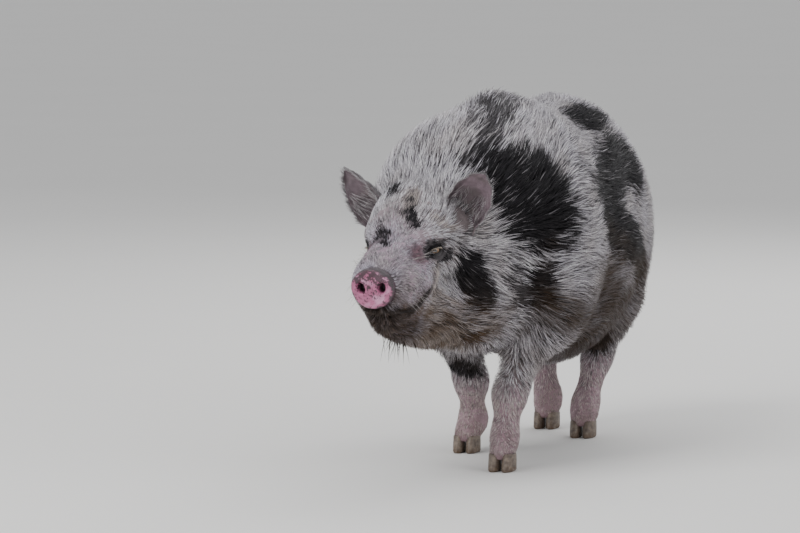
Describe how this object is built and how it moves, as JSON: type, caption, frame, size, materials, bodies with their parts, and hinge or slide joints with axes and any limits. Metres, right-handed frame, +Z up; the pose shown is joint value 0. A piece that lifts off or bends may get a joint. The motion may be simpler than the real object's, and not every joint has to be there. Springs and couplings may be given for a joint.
{
  "type": "pig figure",
  "caption": "Life-size still model of a kunekune pig walking with its head low, with a snout disc, pricked ears, cloven feet and a shaggy patched coat.",
  "frame": {"origin": "centre of the bounding box at floor level, under the chest and belly", "axes": "+Z up; -Y the way the snout points and the pig walks; +X the pig's left"},
  "size_m": [0.3702, 1.1237, 0.6352],
  "materials": {
    "coat": "coarse overlapping bristles, grey-white with black patches",
    "ear_skin": "thin greyish-pink skin with short hair",
    "snout_skin": "moist pink skin with dark mottles",
    "hoof_horn": "dull brown horn",
    "eye": "wet dark brown"
  },
  "bodies": {
    "root": {"ear_left": "ear_skin", "ear_right": "ear_skin", "eye_left": "eye", "eye_right": "eye", "fore_left_claw_left": "hoof_horn", "fore_left_claw_right": "hoof_horn", "fore_left_dewclaw_left": "hoof_horn", "fore_left_dewclaw_right": "hoof_horn", "fore_right_claw_left": "hoof_horn", "fore_right_claw_right": "hoof_horn", "fore_right_dewclaw_left": "hoof_horn", "fore_right_dewclaw_right": "hoof_horn", "foreleg_left": "coat", "foreleg_right": "coat", "head": "coat", "hind_left_claw_left": "hoof_horn", "hind_left_claw_right": "hoof_horn", "hind_left_dewclaw_left": "hoof_horn", "hind_left_dewclaw_right": "hoof_horn", "hind_right_claw_left": "hoof_horn", "hind_right_claw_right": "hoof_horn", "hind_right_dewclaw_left": "hoof_horn", "hind_right_dewclaw_right": "hoof_horn", "hindleg_left": "coat", "hindleg_right": "coat", "lower_jaw": "coat", "neck": "coat", "snout_disc": "snout_skin", "tail": "coat", "torso": "coat"}
  },
  "joints": []
}
